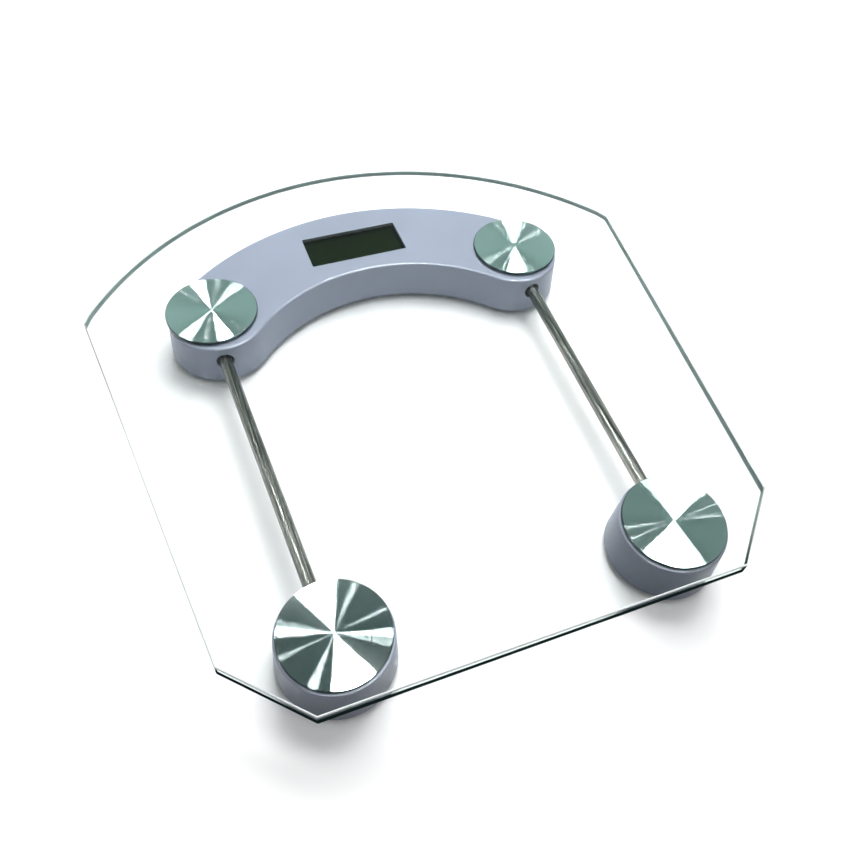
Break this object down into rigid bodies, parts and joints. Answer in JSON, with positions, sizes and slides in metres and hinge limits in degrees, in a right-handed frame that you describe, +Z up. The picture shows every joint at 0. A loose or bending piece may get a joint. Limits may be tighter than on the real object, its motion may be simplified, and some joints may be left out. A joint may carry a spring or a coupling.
{
  "type": "digital bathroom scale",
  "caption": "Digital bathroom scale with a clear glass platform on spun-metal discs, a bow-shaped display housing, round front foot housings and steel tubes between them.",
  "frame": {"origin": "on the floor, under the middle of the platform's bounding box", "axes": "+X to the right of a person who reads the display, +Y towards the display end, +Z up"},
  "size_m": [0.33, 0.34, 0.0383],
  "materials": {
    "platform_glass": "polished, clear with a faint green tint at the edges",
    "spun_aluminium": "spun, with concentric turning grain that shows radial highlights",
    "tube_steel": "brushed along its length",
    "plated_steel": "zinc-plated",
    "cell_steel": "plain nickel-plated",
    "housing_plastic": "satin moulded, pale lavender blue",
    "cover_plastic": "fine-textured moulded grey-blue",
    "foot_plastic": "smooth moulded grey",
    "pad_rubber": "matt translucent grey silicone",
    "grommet_rubber": "matt black",
    "button_rubber": "matt dark grey",
    "window_plastic": "clear, polished",
    "lcd_glass": "dark olive-green reflective display",
    "board_laminate": "green solder mask",
    "black_resin": "black moulding",
    "cable_sheath": "dark grey PVC"
  },
  "bodies": {
    "scale_body": {"glass_platform": "platform_glass", "display_housing": "housing_plastic", "display_base_cover": "cover_plastic", "lcd_window": "window_plastic", "lcd_panel": "lcd_glass", "lcd_connector": "black_resin", "circuit_board": "board_laminate", "controller_chip": "black_resin", "unit_switch": "black_resin", "coin_cell": "cell_steel", "battery_contact_negative": "plated_steel", "battery_contact_positive": "plated_steel", "bow_cover_screw_1": "plated_steel", "bow_cover_screw_2": "plated_steel", "bow_cover_screw_3": "plated_steel", "bow_cover_screw_4": "plated_steel", "bow_cover_screw_5": "plated_steel", "bow_cover_screw_6": "plated_steel", "connecting_tube_left": "tube_steel", "tube_grommet_front_left": "grommet_rubber", "tube_grommet_rear_left": "grommet_rubber", "sensor_cable_left": "cable_sheath", "rear_cell_lead_left": "cable_sheath", "front_foot_housing_left": "housing_plastic", "front_base_cover_left": "cover_plastic", "front_cover_screw_left_1": "plated_steel", "front_cover_screw_left_2": "plated_steel", "connecting_tube_right": "tube_steel", "tube_grommet_front_right": "grommet_rubber", "tube_grommet_rear_right": "grommet_rubber", "sensor_cable_right": "cable_sheath", "rear_cell_lead_right": "cable_sheath", "front_foot_housing_right": "housing_plastic", "front_base_cover_right": "cover_plastic", "front_cover_screw_right_1": "plated_steel", "front_cover_screw_right_2": "plated_steel", "mount_disc_front_left": "spun_aluminium", "disc_screw_front_left": "plated_steel", "load_cell_front_left": "plated_steel", "foot_cap_front_left": "foot_plastic", "foot_pad_front_left": "pad_rubber", "mount_disc_rear_left": "spun_aluminium", "disc_screw_rear_left": "plated_steel", "load_cell_rear_left": "plated_steel", "foot_cap_rear_left": "foot_plastic", "foot_pad_rear_left": "pad_rubber", "mount_disc_front_right": "spun_aluminium", "disc_screw_front_right": "plated_steel", "load_cell_front_right": "plated_steel", "foot_cap_front_right": "foot_plastic", "foot_pad_front_right": "pad_rubber", "mount_disc_rear_right": "spun_aluminium", "disc_screw_rear_right": "plated_steel", "load_cell_rear_right": "plated_steel", "foot_cap_rear_right": "foot_plastic", "foot_pad_rear_right": "pad_rubber"},
    "battery_door": {"battery_door": "cover_plastic"},
    "unit_button": {"unit_button": "button_rubber"}
  },
  "joints": [
    {"name": "battery_door_hinge", "type": "hinge", "parent": "scale_body", "child": "battery_door", "pos_m": [-0.022, 0.1235, 0.00485], "axis": [1, 0, 0], "range_deg": [0, 80]},
    {"name": "unit_button_press", "type": "slide", "parent": "scale_body", "child": "unit_button", "axis": [0, 0, 1], "range_m": [0, 0.0006], "stiffness_N_per_m": 1200}
  ]
}
